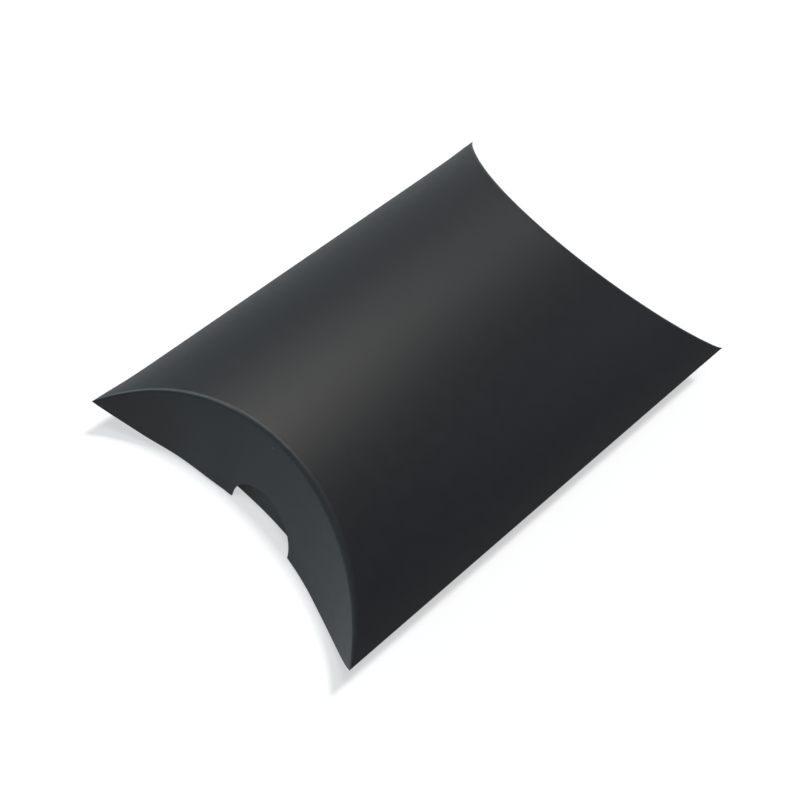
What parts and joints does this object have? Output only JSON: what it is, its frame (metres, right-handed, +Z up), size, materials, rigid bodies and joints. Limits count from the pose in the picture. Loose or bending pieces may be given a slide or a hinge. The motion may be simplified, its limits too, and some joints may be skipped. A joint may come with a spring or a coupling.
{
  "type": "pillow box",
  "caption": "Pillow-shaped gift box of matte black card: bowed top and bottom panels joined at side folds, closed at each end by curved tuck flaps with a thumb notch.",
  "frame": {"origin": "on the floor under the middle of the box", "axes": "+X along the box towards the rear end, +Y across it towards the glued seam, +Z up through the ridge"},
  "size_m": [0.115, 0.08, 0.027],
  "materials": {
    "black_card": "matte black carton board, fine fibre grain, soft sheen",
    "glue": "dried carton glue"
  },
  "bodies": {
    "sleeve": {"top_panel": "black_card", "bottom_panel": "black_card", "side_fold": "black_card", "seam_fold": "black_card", "glue_tab": "black_card", "glue_line": "glue"},
    "front_outer": {"front_outer_flap": "black_card"},
    "front_inner": {"front_inner_flap": "black_card"},
    "rear_outer": {"rear_outer_flap": "black_card"},
    "rear_inner": {"rear_inner_flap": "black_card"}
  },
  "joints": [
    {"name": "front_outer_flap_hinge", "type": "hinge", "parent": "sleeve", "child": "front_outer", "pos_m": [-0.04, 0, 0.027], "axis": [0, 1, 0], "range_deg": [0, 100]},
    {"name": "front_inner_flap_hinge", "type": "hinge", "parent": "sleeve", "child": "front_inner", "pos_m": [-0.04359, 0, 0.001], "axis": [0, 1, 0], "range_deg": [0, 70], "stiffness_Nm_per_rad": 0.002, "springref_deg": -8.59},
    {"name": "rear_outer_flap_hinge", "type": "hinge", "parent": "sleeve", "child": "rear_outer", "pos_m": [0.04, 0, 0.027], "axis": [0, -1, 0], "range_deg": [0, 100]},
    {"name": "rear_inner_flap_hinge", "type": "hinge", "parent": "sleeve", "child": "rear_inner", "pos_m": [0.04359, 0, 0.001], "axis": [0, -1, 0], "range_deg": [0, 70], "stiffness_Nm_per_rad": 0.002, "springref_deg": -8.59}
  ]
}
